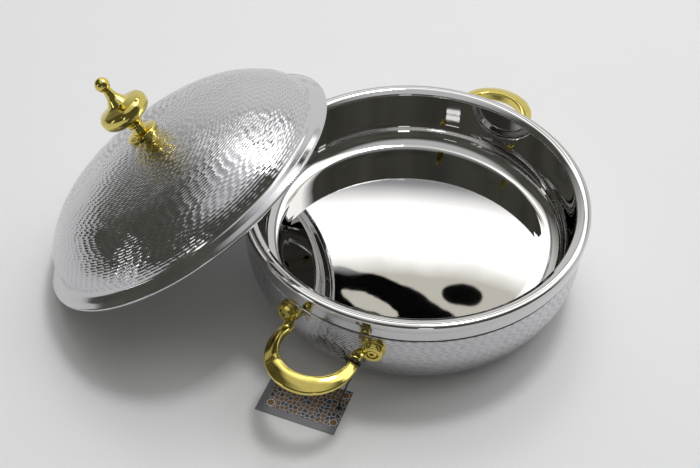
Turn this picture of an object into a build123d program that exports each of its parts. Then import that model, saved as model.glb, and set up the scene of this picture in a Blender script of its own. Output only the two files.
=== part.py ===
from build123d import *
import os
from math import asin, atan2, cos, degrees, dist, pi, radians, sin, sqrt, tan

# An insulated serving casserole of spun stainless steel with a separate domed lid.
# Millimetres. The origin is the centre of the casserole's base, on the table, +Z up.
# The lid is off: one edge stands on the table and its underside leans on the rim.

# ---- driving dimensions ----
sheet = 0.8                 # spun stainless sheet, body and lid
seam_gap = 0.1              # between sheets that are crimped or seated on each other
foam_gap = 0.3              # around the foam
hole_gap = 0.25             # a bolt in its hole, all round

rim_radius = 130.0          # outside of the rolled rim
rim_height = 78.0           # middle of the rim roll above the table
rim_crown = 3.2             # the rim's highest corner above its middle
rim_lip = 3.4               # how far the rolled lip hangs below the rim's middle
rim_corner_radius = 2.6     # outer edge of the rim
rim_slope_drop = 1.6        # fall of the rim from its crown to its outer edge
rim_crown_inset = 4.8       # crown inside the outer edge
rim_crown_radius = 8.0      # rounding of the crown

rim_width = 10.5            # from the outside of the rim to the inside of the bowl
bowl_draft = 1.2            # the bowl's wall draws in by this down to its floor
bowl_depth = 47.0           # floor of the bowl below the rim's middle
bowl_corner_radius = 17.0   # wall to floor
bowl_crown_inset = 22.3     # from the wall to the edge of the slightly crowned floor
bowl_crown_rise = 1.6       # how far the floor is crowned

band_height = 12.8          # polished band, from the rim's middle down to the groove
groove_width = 2.4
groove_depth = 1.9
wall_setback = 1.6          # hammered wall inside the rim
belly_height = 26.0         # corner where the wall turns in to the belly
belly_radius = 58.0
base_turn_in = 17.9         # corner where the belly meets the base, inside the wall
base_corner_radius = 24.0
foot_width = 18.5           # from that corner to the inner edge of the pressed foot
foot_height = 2.6           # the base inside the foot is raised by this

fill_hole_radius = 7.0      # hole that the foam is injected through
fill_plug_flange = 10.5     # radius of the plug's head
fill_plug_head = 1.6

handle_azimuth = -114.3     # direction of the front handle; the back one is opposite
boss_spacing = 68.6         # between the two screws of one handle
boss_radius = 8.0
boss_face_radius = 7.4
boss_length = 6.3           # from the wall to the boss's face
boss_edge_radius = 1.0
boss_base_radius = 8.6      # ring at the wall, with a groove between it and the boss
boss_base_length = 1.8
boss_base_edge = 0.3
boss_groove_radius = 7.5
boss_groove_width = 0.6
boss_below_rim = 26.6       # screws below the rim's middle
handle_reach = 47.1         # from the wall to the middle of the bar at the tip
loop_half_width = 28.4      # middle of the bar at its widest
loop_waist = 26.4           # middle of the bar where it is narrowest
loop_waist_reach = 8.5      # from the wall to that place
loop_foot_sink = 2.3        # end of the bar inside the wall, before it is cut
loop_foot_inset = 4.5       # that end inside the line of the screws
loop_straight = 2.1         # between the loop's round and the turn to the waist
bar_width = 13.0            # at the tip
bar_height = 9.4
bar_end_share = 0.60        # size of the bar at its ends, as a share of its size at the tip
bar_foot_share = 0.46       # and inside the bosses
collar_radius = 4.4         # turned collar between boss and bar
collar_length = 5.0
collar_share = 0.085        # its middle, as a share of the way along the bar
collar_edge = 0.7

screw_radius = 2.5
screw_recess = 0.2          # head below the boss's face
screw_overhang = 0.8        # screw past its nut
screw_head_radius = 3.7
screw_head_length = 2.6
screw_head_edge = 0.8
screw_seat_gap = 0.5        # round the head in its seat
screw_socket_flats = 3.0    # hexagon socket
screw_socket_depth = 1.7
nut_flats = 8.0
nut_length = 4.0
backing_thickness = 1.2     # curved plate inside the wall, behind both bosses
backing_height = 20.0
backing_overhang = 10.0     # past each screw

hem_setback = 2.9           # outside of the lid's rolled hem inside the outside of the rim
hem_radius = 1.2
flange_width = 14.1         # flange between the hem and the dome
dome_rise = 47.0            # dome above the flange
flange_height = 6.5         # inner edge of the flange above the hem's underside
flange_break_inset = 6.6    # where the flange turns down, inside the hem
flange_break_height = 5.2
plug_depth = 13.6           # the lid's liner below the hem
plug_clearance = 3.1        # liner inside the mouth, all round
plug_taper = 14.4           # the liner narrows by this to its flat bottom
plug_corner_radius = 6.0
liner_clearance = 0.6       # between the liner's edge and the hem

lean = 32.8                 # tilt of the leaning lid, degrees
lean_azimuth = 170.5        # direction from the casserole to the lid's low edge
lean_sidestep = 26.8        # the lid's centre beside the line of its lean
lean_gap = 0.3              # between the lid's liner and the rim
table_gap = 0.02            # under the lid's hem

knob_flange_radius = 12.3   # knob, from its flange on the dome to its ball
knob_flange_height = 3.4
knob_flange_edge = 2.6      # height of the flange's rounded edge
knob_flange_flat = 8.0      # radius of the flat under the neck
knob_neck_radius = 4.9
knob_neck_height = 9.0
knob_bead_radius = 1.3      # bead round the neck
knob_bead_height = 9.8
knob_bowl_foot_radius = 7.5
knob_bowl_foot_height = 13.6
knob_bowl_radius = 19.4     # the bulb is a bowl with a shallow cone on it
knob_bowl_low = 16.6        # lower and upper corner of the bowl's side
knob_bowl_high = 25.2
knob_bowl_corner_radius = 6.9
knob_brim_radius = 17.0     # edge between the bowl and the cone
knob_brim_height = 27.6
knob_spire_radius = 8.2     # foot of the spire
knob_spire_height = 30.0
knob_tip_radius = 3.0       # top of the spire
knob_tip_height = 41.8
knob_ball_radius = 5.5
knob_ball_height = 47.0

stud_radius = 3.0
stud_in_knob = 15.0
stud_below_dome = 9.5
lid_washer_radius = 11.0
lid_washer_thickness = 1.5
lid_nut_flats = 10.0
lid_nut_length = 5.0

card_length = 60.0
card_width = 38.0
card_thickness = 0.5
card_turn = -15.5           # long edge from +X, degrees
card_offset = (-10.9, -25.0)  # near corner of the card from the tie on the handle
eyelet_inset = 4.0          # string hole from the short edge
eyelet_across = 20.5        # string hole from the long edge
eyelet_radius = 1.6
bead_radius = 2.2
bead_flat = 0.4             # flats where the bead lies on the card and takes the string
string_radius = 0.55
tie_gap = 0.3               # between the string's turns and the bar
tie_along = 4.8             # from the waist of the bar towards its tip
tie_turns = 2               # turns of the string round the bar
tie_knot_radius = 1.7

# Corners of the string's route, from the knot on the handle down to the bead.
string_drops = [
    (0, 0, -7.4),
    (-4.0, -1.3, -15.8),
    (-5.2, 0.1, -24.2),
]
string_landing = 7.0        # upright end above the bead

# ---- sizes that follow ----
mouth_radius = rim_radius - rim_width
bowl_wall_radius = mouth_radius - bowl_draft
bowl_crown_radius = bowl_wall_radius - bowl_crown_inset
hammered_radius = rim_radius - wall_setback
base_corner_reach = hammered_radius - base_turn_in
foot_inner_radius = base_corner_reach - foot_width
loop_reach = hammered_radius + handle_reach
lid_radius = rim_radius - hem_setback
dome_radius = lid_radius - flange_width
flange_break_radius = lid_radius - flange_break_inset
plug_top_radius = mouth_radius - plug_clearance
plug_bottom_radius = plug_top_radius - plug_taper
liner_lip_radius = lid_radius - 2 * hem_radius - liner_clearance
handle_height = rim_height - boss_below_rim
band_radius = rim_radius - sheet - seam_gap
groove_top = rim_height - band_height
groove_bottom = groove_top - groove_width
bowl_floor = rim_height - bowl_depth
boss_angle = degrees(asin(boss_spacing / 2 / (hammered_radius + boss_length / 2)))
boss_face = hammered_radius + boss_length
wall_inside = hammered_radius - sheet
dome_top = flange_height + dome_rise
base_turn = atan2(belly_height, base_turn_in)
belly_turn = pi / 2 - base_turn
slope_length = dist((base_corner_reach, 0), (hammered_radius, belly_height))
slope_left = slope_length - base_corner_radius * tan(base_turn / 2) - 0.5
belly_arc = min(belly_radius, slope_left / tan(belly_turn / 2))


# ---- helpers ----
def filled(points, radii):
    """Right half of a turned outline, from the axis round to the axis."""
    with BuildSketch(Plane.XZ) as half:
        with BuildLine():
            FilletPolyline(*points, radius=radii)
            Line(points[-1], points[0])
        make_face()
    return half.sketch


def turned(face):
    return revolve(face, axis=Axis.Z, revolution_arc=360)


def inset(points, radii, amount):
    """The same outline moved inwards by amount, and still closed on the axis."""
    mirrored = [(-x, z) for x, z in reversed(points[1:-1])]
    with BuildSketch(Plane.XZ) as whole:
        with BuildLine():
            FilletPolyline(*points, *mirrored, radius=[0] + radii + [0] + radii[::-1], close=True)
        make_face()
        offset(amount=-amount, kind=Kind.ARC)
        with Locations((1000, 0)):
            Rectangle(2000, 2000, mode=Mode.INTERSECT)
    return whole.sketch


def soft_radius(before, corner, after, tangent):
    """Radius of the arc at a corner that starts this far before the corner."""
    turn = atan2(after[1] - corner[1], after[0] - corner[0]) - atan2(corner[1] - before[1], corner[0] - before[0])
    return tangent / abs(tan(turn / 2))


def ring(inner, outer, low, high):
    tube = Cylinder(outer, high - low, align=(Align.CENTER, Align.CENTER, Align.MIN))
    tube -= Cylinder(inner, high - low, align=(Align.CENTER, Align.CENTER, Align.MIN))
    return Pos(0, 0, low) * tube


def out_of_axis(angle, distance, height, shape):
    """Turn a shape made along +Z to point straight out of the casserole's axis."""
    return Rot(0, 0, angle) * Pos(distance, 0, height) * Rot(0, 90, 0) * shape


def post(radius, length):
    return Cylinder(radius, length, align=(Align.CENTER, Align.CENTER, Align.MIN))


def hexagon(flats, length):
    return extrude(RegularPolygon(flats / 2, 6, major_radius=False), length)


# ---- body ----
shell_points = [
    (0, foot_height),
    (foot_inner_radius - foot_height, foot_height),
    (foot_inner_radius, 0),
    (base_corner_reach, 0),
    (hammered_radius, belly_height),
    (hammered_radius, groove_bottom),
    (hammered_radius - groove_depth, groove_bottom + groove_width / 3),
    (hammered_radius - groove_depth, groove_top - groove_width / 3),
    (band_radius, groove_top),
    (band_radius, rim_height + rim_crown),
    (0, rim_height + rim_crown),
]
shell_radii = [0, 0, base_corner_radius, belly_arc, 0.5, 0, 0, 0.5, 0]
foam_shell_radii = [0, 0, base_corner_radius, belly_arc, 0, 0, 0, 0, 0]

cavity_points = [
    (0, bowl_floor + bowl_crown_rise),
    (bowl_crown_radius / 2, bowl_floor + bowl_crown_rise),
    (bowl_crown_radius, bowl_floor),
    (bowl_wall_radius, bowl_floor),
    (mouth_radius, rim_height),
    (mouth_radius, 2 * rim_height),
    (0, 2 * rim_height),
]
floor_arc = soft_radius(*cavity_points[:3], 0.49 * bowl_crown_radius)
cavity_radii = [floor_arc, 6, bowl_corner_radius, 0, 0]
foam_cavity_radii = [floor_arc, 0, bowl_corner_radius, 0, 0]

shell_top = rim_height - 1.0
boss_angles = (-boss_angle, boss_angle)
front = handle_azimuth
back = handle_azimuth + 180


def make_outer_shell():
    shell = turned(filled(shell_points, shell_radii)) - turned(inset(shell_points, shell_radii, sheet))
    shell -= Pos(0, 0, shell_top) * post(rim_radius, rim_height)
    shell -= post(fill_hole_radius, 2 * foot_height)
    for azimuth in (front, back):
        for angle in boss_angles:
            hole = post(screw_radius + hole_gap, 4)
            shell -= out_of_axis(azimuth + angle, wall_inside - 2, handle_height, hole)
    return shell


def make_inner_bowl():
    skirt = rim_height - rim_lip - sheet
    crown_height = rim_height + rim_crown
    with BuildSketch(Plane.XZ) as rim:
        with BuildLine():
            FilletPolyline(
                (mouth_radius, skirt),
                (mouth_radius, crown_height - 2.4),
                (rim_radius - rim_crown_inset, crown_height),
                (rim_radius, crown_height - rim_slope_drop),
                (rim_radius, skirt),
                radius=[0, 0.9, rim_crown_radius, rim_corner_radius, 0],
                close=True,
            )
        make_face()
    under = offset(rim.sketch, amount=-sheet, kind=Kind.INTERSECTION)
    roll = turned(rim.sketch) - turned(under)
    roll -= ring(mouth_radius + sheet, 2 * rim_radius, 0, rim_height - rim_lip)
    bowl = turned(inset(cavity_points, cavity_radii, -sheet)) & post(rim_radius, rim_height - rim_lip)
    return bowl + roll - turned(filled(cavity_points, cavity_radii))


def pocket(azimuth):
    """Space in the foam round the hardware of one handle."""
    reach = boss_angle + degrees(backing_overhang / hammered_radius) + 1
    inner = plate_inner - seam_gap - nut_length - 2
    block = ring(inner, rim_radius, plate_low - 1, rim_height)
    wedge = Rot(0, 0, azimuth) * Pos(rim_radius, 0, rim_height / 2)
    return block & wedge * Box(rim_radius, 2 * rim_radius * sin(radians(reach)), 2 * rim_height)


def make_body_insulation():
    gap = sheet + foam_gap
    foam = turned(inset(shell_points, foam_shell_radii, gap))
    foam -= turned(inset(cavity_points, foam_cavity_radii, -gap))
    foam -= Pos(0, 0, rim_height - rim_lip - foam_gap) * post(2 * rim_radius, rim_height)
    foam -= post(fill_hole_radius + foam_gap, 4 * foot_height)
    return foam - pocket(front) - pocket(back)


def make_fill_plug():
    head = Pos(0, 0, foot_height - seam_gap - fill_plug_head) * post(fill_plug_flange, fill_plug_head)
    head = chamfer(head.edges().group_by(Axis.Z)[0], fill_plug_head / 2)
    shank = Pos(0, 0, foot_height - seam_gap) * post(fill_hole_radius - hole_gap, sheet + 2)
    return head + chamfer(shank.edges().group_by(Axis.Z)[-1], 0.8)


# ---- handles ----
def belly_draw(height):
    """How far the belly has drawn the inside of the wall in at this height."""
    bend = belly_arc - sheet
    top = belly_height + belly_arc * tan(belly_turn / 2)
    return bend - sqrt(bend**2 - max(0, top - height) ** 2)


plate_low = handle_height - backing_height / 2
plate_outer = wall_inside - seam_gap - belly_draw(plate_low)
plate_inner = plate_outer - backing_thickness

loop_points = [
    (hammered_radius - loop_foot_sink, boss_spacing / 2 - loop_foot_inset),
    (hammered_radius + loop_waist_reach, loop_waist),
    (loop_reach - loop_half_width - loop_straight, loop_half_width),
    (loop_reach, loop_half_width),
]
loop_radii = [10, 20, loop_half_width - 0.4]

# Share of the way along the bar, and the bar's size there.
bar_sizes = [(0, bar_foot_share), (0.1, bar_end_share), (0.5, 1), (0.9, bar_end_share), (1, bar_foot_share)]

boss_points = [
    (0, -3),
    (boss_base_radius, -3),
    (boss_base_radius, boss_base_length - boss_base_edge),
    (boss_base_radius - boss_base_edge, boss_base_length),
    (boss_groove_radius, boss_base_length),
    (boss_groove_radius, boss_base_length + boss_groove_width),
    (boss_radius, boss_base_length + boss_groove_width),
    (boss_face_radius, boss_length),
    (0, boss_length),
]
boss_radii = [0, 0, 0, 0, 0, 0, boss_edge_radius]


def bar_path():
    far_side = [(x, -y) for x, y in reversed(loop_points)]
    corners = [(x, y, handle_height) for x, y in loop_points + far_side]
    return Wire(FilletPolyline(*corners, radius=loop_radii + loop_radii[::-1]).edges())


def bar_section(path, share, size):
    """Half-round section: full above, flatter below, with an edge along each side."""
    middle = Plane(path @ share, x_dir=(path % share).cross(Vector(0, 0, 1)), z_dir=path % share)
    half_width = bar_width / 2 * size
    half_height = bar_height / 2 * size
    edge = -0.18 * half_height
    with BuildSketch(middle) as section:
        with BuildLine():
            ThreePointArc((half_width, edge), (0, half_height), (-half_width, edge))
            ThreePointArc((-half_width, edge), (0, -half_height), (half_width, edge))
        make_face()
    return section.sketch


def make_handle():
    path = bar_path()
    handle = sweep([bar_section(path, share, size) for share, size in bar_sizes], path=path, multisection=True)
    for share in (collar_share, 1 - collar_share):
        collar = post(collar_radius, collar_length)
        collar = chamfer(collar.edges().filter_by(GeomType.CIRCLE), collar_edge)
        middle = Plane(path @ share, z_dir=path % share)
        handle += middle * Pos(0, 0, -collar_length / 2) * collar
    for angle in boss_angles:
        handle += out_of_axis(angle, boss_face - boss_length, handle_height, turned(filled(boss_points, boss_radii)))
    handle -= post(hammered_radius + seam_gap, 2 * rim_height)
    for angle in boss_angles:
        bore = post(screw_radius + hole_gap, boss_length + 6)
        seat = post(screw_head_radius + screw_seat_gap, boss_length)
        seat_depth = screw_recess + screw_head_length + seam_gap
        handle -= out_of_axis(angle, hammered_radius - 3, handle_height, bore)
        handle -= out_of_axis(angle, boss_face - seat_depth, handle_height, seat)
    return handle


def make_screws():
    head_top = boss_face - screw_recess
    end = plate_inner - seam_gap - nut_length - screw_overhang
    screws = []
    for angle in boss_angles:
        head = post(screw_head_radius, screw_head_length)
        head = chamfer(head.edges().group_by(Axis.Z)[-1], screw_head_edge)
        socket = hexagon(screw_socket_flats, screw_socket_depth)
        head -= Pos(0, 0, screw_head_length - screw_socket_depth) * socket
        shank = post(screw_radius, head_top - screw_head_length - end)
        screw = out_of_axis(angle, head_top - screw_head_length, handle_height, head)
        screws.append(screw + out_of_axis(angle, end, handle_height, shank))
    return screws


def make_nuts():
    nuts = []
    for angle in boss_angles:
        nut = hexagon(nut_flats, nut_length) - post(screw_radius + seam_gap / 2, nut_length)
        nuts.append(out_of_axis(angle, plate_inner - seam_gap - nut_length, handle_height, nut))
    return nuts


def make_backing_plate():
    plate = ring(plate_inner, plate_outer, plate_low, plate_low + backing_height)
    plate &= Pos(rim_radius, 0, handle_height) * Box(rim_radius, boss_spacing + 2 * backing_overhang, rim_height)
    for angle in boss_angles:
        plate -= out_of_axis(angle, plate_inner - 2, handle_height, post(screw_radius + hole_gap, 6))
        flat = Box(nut_flats + 2, nut_flats + 2, 2, align=(Align.CENTER, Align.CENTER, Align.MAX))
        plate -= out_of_axis(angle, plate_inner, handle_height, flat)
    return plate


# ---- lid, made flat on its hem and then leant ----
edge_radius = lid_radius - sheet
foot = (dome_radius, flange_height)
shoulder = (dome_radius, flange_height + 0.2 * dome_rise)
side = (0.823 * dome_radius, flange_height + 0.65 * dome_rise)
crown = (0.336 * dome_radius, dome_top)
top = (0, dome_top)
shoulder_arc = soft_radius(foot, shoulder, side, 0.8 * dist(foot, shoulder))
side_arc = soft_radius(shoulder, side, crown, 0.65 * dist(shoulder, side))
crown_arc = soft_radius(side, crown, top, 0.98 * dist(crown, top))

lid_points = [
    (0, -2 * plug_depth),
    (edge_radius, -2 * plug_depth),
    (edge_radius, 1.6 * hem_radius),
    (flange_break_radius, flange_break_height),
    foot,
    shoulder,
    side,
    crown,
    top,
]
lid_radii = [0, 0, 10, 1.2, shoulder_arc, side_arc, crown_arc]

liner_points = [
    (0, -plug_depth),
    (plug_bottom_radius, -plug_depth),
    (plug_top_radius, hem_radius),
    (liner_lip_radius, hem_radius),
    (liner_lip_radius, 2 * dome_top),
    (0, 2 * dome_top),
]
liner_radii = [plug_corner_radius, 2.5, 0, 0]


def crown_sag(radius):
    """Fall of the dome from its middle to this radius."""
    return crown_arc - sqrt(crown_arc**2 - radius**2)


def make_lid_dome():
    dome = turned(filled(lid_points, lid_radii)) - turned(inset(lid_points, lid_radii, sheet))
    dome -= Pos(0, 0, hem_radius - 3 * plug_depth) * post(2 * lid_radius, 3 * plug_depth)
    dome -= Pos(0, 0, dome_top / 2) * post(stud_radius + hole_gap, dome_top)
    return dome + Pos(0, 0, hem_radius) * Torus(lid_radius - hem_radius, hem_radius)


def make_lid_liner():
    liner = turned(filled(liner_points, liner_radii)) - turned(inset(liner_points, liner_radii, sheet))
    return liner - Pos(0, 0, hem_radius + sheet) * post(2 * lid_radius, 4 * dome_top)


def make_lid_insulation():
    gap = sheet + foam_gap
    foam = turned(inset(lid_points, lid_radii, gap)) & turned(inset(liner_points, liner_radii, gap))
    depth = dome_top - sheet - stud_below_dome - foam_gap - 1
    return foam - Pos(0, 0, depth) * post(lid_washer_radius + foam_gap, dome_top)


def make_knob_flange():
    points = [
        (0, 0),
        (knob_flange_radius, 0),
        (knob_flange_radius, knob_flange_edge),
        (knob_flange_flat, knob_flange_height),
        (0, knob_flange_height),
    ]
    flange = turned(filled(points, [1.3, 1.2, 0]))
    return Pos(0, 0, dome_top) * (flange - post(stud_radius + hole_gap, knob_flange_height))


def make_knob():
    neck_foot = (knob_neck_radius + 1.5, knob_flange_height)
    points = [
        (0, knob_flange_height),
        neck_foot,
        (knob_neck_radius, knob_neck_height),
        (knob_bowl_foot_radius, knob_bowl_foot_height),
        (knob_bowl_radius, knob_bowl_low),
        (knob_bowl_radius, knob_bowl_high),
        (knob_brim_radius, knob_brim_height),
        (knob_spire_radius, knob_spire_height),
        ((knob_spire_radius + knob_tip_radius) / 2 - 1.2, (knob_spire_height + knob_tip_height) / 2),
        (knob_tip_radius, knob_tip_height + 1),
        (0, knob_tip_height + 1),
    ]
    knob = turned(filled(points, [0, 3, 3, knob_bowl_corner_radius, 5, 0.5, 3, 10, 0]))
    knob += Pos(0, 0, knob_bead_height) * Torus(knob_neck_radius, knob_bead_radius)
    knob += Pos(0, 0, knob_ball_height) * Sphere(knob_ball_radius)
    return Pos(0, 0, dome_top) * (knob - post(stud_radius + seam_gap / 2, knob_flange_height + stud_in_knob))


def make_knob_stud():
    length = stud_below_dome + knob_flange_height + stud_in_knob - 0.5
    stud = chamfer(post(stud_radius, length).edges().filter_by(GeomType.CIRCLE), 0.5)
    return Pos(0, 0, dome_top - stud_below_dome) * stud


lid_washer_top = dome_top - sheet - crown_sag(lid_washer_radius) - seam_gap


def make_lid_washer():
    return ring(stud_radius + hole_gap, lid_washer_radius, lid_washer_top - lid_washer_thickness, lid_washer_top)


def make_lid_nut():
    nut = hexagon(lid_nut_flats, lid_nut_length) - post(stud_radius + seam_gap / 2, lid_nut_length)
    return Pos(0, 0, lid_washer_top - lid_washer_thickness - seam_gap - lid_nut_length) * nut


def lid_place():
    """Where the lid rests: its hem on the table, its liner on the rim's outer corner."""
    tilt = radians(lean)
    slope = atan2(rim_slope_drop, rim_crown_inset)
    corner_top = rim_height + rim_crown - rim_slope_drop
    corner_height = corner_top - rim_corner_radius * (1 - sin(slope)) / cos(slope)
    corner_reach = rim_radius - rim_corner_radius
    height = table_gap + hem_radius + (lid_radius - hem_radius) * sin(tilt) - hem_radius * cos(tilt)
    stand_off = rim_corner_radius + lean_gap + plug_depth
    reach = (corner_reach * sin(tilt) + corner_height * cos(tilt) + stand_off - height * cos(tilt)) / sin(tilt)
    towards = radians(lean_azimuth)
    x = reach * cos(towards) - lean_sidestep * sin(towards)
    y = reach * sin(towards) + lean_sidestep * cos(towards)
    return Pos(x, y, height) * Rot(0, 0, lean_azimuth) * Rot(0, lean, 0)


# ---- hang tag ----
def tie_on_bar():
    """Middle of the bar where the string is tied, with X along the bar."""
    waist = Vector(*loop_points[1])
    along = (Vector(*loop_points[2]) - waist).normalized()
    middle = waist + along * tie_along
    turn = degrees(atan2(along.Y, along.X))
    return Rot(0, 0, front) * Pos(middle.X, middle.Y, handle_height) * Rot(0, 0, turn)


tie = tie_on_bar()
card_corner = tie.position + Vector(*card_offset, -handle_height)
card_place = Pos(*card_corner) * Rot(0, 0, card_turn)
eyelet_place = card_place * Pos(-eyelet_inset, eyelet_across, card_thickness)


def make_tag_card():
    card = Box(card_length, card_width, card_thickness, align=(Align.MAX, Align.MIN, Align.MIN))
    card -= Pos(-eyelet_inset, eyelet_across, 0) * post(eyelet_radius, card_thickness)
    return card_place * card


tie_share = 0.64            # size of the bar at the tie
tie_loop_radius = bar_width / 2 * tie_share + tie_gap + string_radius
knot_drop = tie_loop_radius + tie_knot_radius / 2
knot_bottom = knot_drop + 0.8 * tie_knot_radius


def make_string_tie():
    width = 2 * string_radius * tie_turns
    band = ring(tie_loop_radius - string_radius, tie_loop_radius + string_radius, -width / 2, width / 2)
    knot = Pos(0, 0, -knot_drop) * Sphere(tie_knot_radius)
    knot -= Pos(0, 0, -knot_bottom) * Box(10, 10, 10, align=(Align.CENTER, Align.CENTER, Align.MAX))
    return tie * (Rot(0, 90, 0) * band + knot)


bead_top = bead_radius - bead_flat


def make_tag_bead():
    bead = Sphere(bead_radius) & Box(3 * bead_radius, 3 * bead_radius, 2 * bead_top)
    return eyelet_place * Pos(0, 0, bead_top) * bead


def make_tag_string():
    start = (tie * Pos(0, 0, -knot_bottom)).position
    end = (eyelet_place * Pos(0, 0, 2 * bead_top)).position
    above_bead = end + Vector(0, 0, string_landing)
    corners = [start] + [start + Vector(*drop) for drop in string_drops] + [above_bead, end]
    radii = []
    for before, corner, after in zip(corners, corners[1:], corners[2:]):
        turn = radians((corner - before).get_angle(after - corner))
        shorter = min((corner - before).length, (after - corner).length)
        radii.append(0.45 * shorter / tan(turn / 2))
    print("string radii", [round(radius, 1) for radius in radii])
    path = Wire(FilletPolyline(*corners, radius=radii).edges())
    tube = sweep(Plane(path @ 0, z_dir=path % 0) * Circle(string_radius), path=path)
    section = pi * string_radius**2
    print("string length", round(path.length, 1), "volume over section", round(tube.volume / section, 1))
    return tube


# ---- every piece in its own file ----
def save(name, shape):
    export_step(shape, f"parts/{name}.step")


os.makedirs("parts", exist_ok=True)

save("outer_shell", make_outer_shell())
save("inner_bowl", make_inner_bowl())
save("body_insulation", make_body_insulation())
save("fill_plug", make_fill_plug())

handle = make_handle()
for side, azimuth in (("front", front), ("back", back)):
    turn = Rot(0, 0, azimuth)
    save(f"handle_{side}", turn * handle)
    save(f"backing_plate_{side}", turn * make_backing_plate())
    save(f"handle_screws_{side}", Compound([turn * screw for screw in make_screws()]))
    save(f"handle_nuts_{side}", Compound([turn * nut for nut in make_nuts()]))

leaning = lid_place()
save("lid_dome", leaning * make_lid_dome())
save("lid_liner", leaning * make_lid_liner())
save("lid_insulation", leaning * make_lid_insulation())
save("knob_flange", leaning * make_knob_flange())
save("knob", leaning * make_knob())
save("knob_stud", leaning * make_knob_stud())
save("lid_washer", leaning * make_lid_washer())
save("lid_nut", leaning * make_lid_nut())

save("tag_card", make_tag_card())
save("tag_bead", make_tag_bead())
save("string_tie", make_string_tie())
save("tag_string", make_tag_string())
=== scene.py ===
from math import atan2, ceil, cos, pi, radians, sin, sqrt, tan

import bpy
import numpy as np
from mathutils import Matrix, Vector
from mathutils.kdtree import KDTree


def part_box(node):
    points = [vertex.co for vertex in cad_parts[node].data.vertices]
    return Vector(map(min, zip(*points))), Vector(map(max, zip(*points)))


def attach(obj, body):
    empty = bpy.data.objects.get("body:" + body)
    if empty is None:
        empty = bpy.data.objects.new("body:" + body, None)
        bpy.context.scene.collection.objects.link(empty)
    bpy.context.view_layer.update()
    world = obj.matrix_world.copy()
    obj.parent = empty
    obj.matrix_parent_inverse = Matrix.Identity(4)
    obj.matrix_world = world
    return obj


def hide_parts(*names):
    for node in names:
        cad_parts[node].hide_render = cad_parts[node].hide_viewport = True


# A serving casserole of spun steel with brass handles, its domed lid leant on the rim, and a hang tag.
# Sizes are in millimetres and become metres as each mesh is made.
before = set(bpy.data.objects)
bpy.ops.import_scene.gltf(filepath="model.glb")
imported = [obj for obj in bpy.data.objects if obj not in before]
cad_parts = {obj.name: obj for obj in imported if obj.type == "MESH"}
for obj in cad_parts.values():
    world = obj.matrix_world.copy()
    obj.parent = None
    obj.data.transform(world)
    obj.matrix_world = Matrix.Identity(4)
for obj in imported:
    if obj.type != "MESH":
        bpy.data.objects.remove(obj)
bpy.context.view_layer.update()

# ---- the view ----
# A camera on a stand, in front of the table and above it, looks down into the open casserole.
MM = 0.001
camera_place = (0, -543.3 * MM, 593.0 * MM)
camera_turn = (44.07, -0.30, 5.42)
camera_lens = 51.43

bpy.ops.object.camera_add(location=camera_place, rotation=[radians(turn) for turn in camera_turn])
camera = bpy.context.object
camera.data.lens = camera_lens
camera.data.sensor_width = 36
bpy.context.scene.camera = camera


# ---- string of the hang tag ----
# Waxed black cotton string, twisted from three yarns. It hangs from the knot on the front
# handle and ends in a knot that holds the card through its eyelet.
string_diameter = 1.1
string_route = [
    (-33.14, -140.36, 44.18),
    (-33.14, -140.36, 36.78),
    (-37.14, -141.66, 28.38),
    (-38.34, -140.26, 19.98),
    (-42.42, -144.53, 11.10),
    (-42.42, -144.53, 4.10),
]


def colour(code):
    """An sRGB hex value as the linear colour that a socket takes."""
    parts = [int(code[start:start + 2], 16) / 255 for start in (1, 3, 5)]
    return [part / 12.92 if part <= 0.04045 else ((part + 0.055) / 1.055) ** 2.4 for part in parts] + [1]


def fill(target, inputs):
    """Sets a node's inputs, each given as a value, a socket, or a node whose first output in use is taken."""
    for name, value in inputs.items():
        if isinstance(value, bpy.types.Node):
            value = next(output for output in value.outputs if output.enabled)
        if isinstance(value, bpy.types.NodeSocket):
            target.id_data.links.new(value, target.inputs[name])
        else:
            target.inputs[name].default_value = value


def node(tree, kind, inputs=None, **settings):
    """Adds a shader node with its settings and links."""
    added = tree.nodes.new(f"ShaderNode{kind}")
    for name, value in settings.items():
        setattr(added, name, value)
    fill(added, inputs or {})
    return added


def surface(material, inputs):
    """Sets inputs of a material's shader."""
    fill(material.node_tree.nodes["Principled BSDF"], inputs)


def new_material(name, base, roughness, metallic=0.0, coat=0.0):
    """A material with an even colour and gloss, to which its section adds a pattern."""
    material = bpy.data.materials.new(name)
    material.use_nodes = True
    surface(material, {"Base Color": colour(base), "Roughness": roughness, "Metallic": metallic,
                       "Coat Weight": coat})
    return material


def cord_piece(name, route, diameter):
    """A round cord on one smooth curve, with the route's points as its control points."""
    curve = bpy.data.curves.new(name, "CURVE")
    curve.dimensions = "3D"
    spline = curve.splines.new("NURBS")
    spline.points.add(len(route) - 1)
    for point, place in zip(spline.points, route):
        point.co = [value * MM for value in place] + [1]
    spline.order_u = 3
    spline.use_endpoint_u = True
    spline.resolution_u = 16
    curve.bevel_depth = diameter / 2 * MM
    curve.bevel_resolution = 4
    curve.use_fill_caps = True
    piece = bpy.data.objects.new(name, curve)
    bpy.context.collection.objects.link(piece)
    return piece


# Waxed cotton: near black, with a dull sheen from the wax and the lay of its yarns across it. At scale 1
# the texture's diagonal bands are pi / 5 apart along x + y + z.
waxed_cotton = new_material("waxed_cotton", "#131212", 0.55)
tree = waxed_cotton.node_tree
lay_length = 5.13
yarn_relief = 0.12
place = node(tree, "TexCoord").outputs["Object"]
lay = node(tree, "TexWave", {"Vector": place, "Scale": pi / 5 / (lay_length * MM), "Distortion": 1.5},
           bands_direction="DIAGONAL")
relief = node(tree, "Bump", {"Height": lay.outputs["Fac"], "Distance": yarn_relief * MM, "Strength": 0.8})
surface(waxed_cotton, {"Normal": relief})

tag_cord = cord_piece("hang_string", string_route, string_diameter)
tag_cord.data.materials.append(waxed_cotton)
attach(tag_cord, "casserole")
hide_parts("tag_string")


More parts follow.
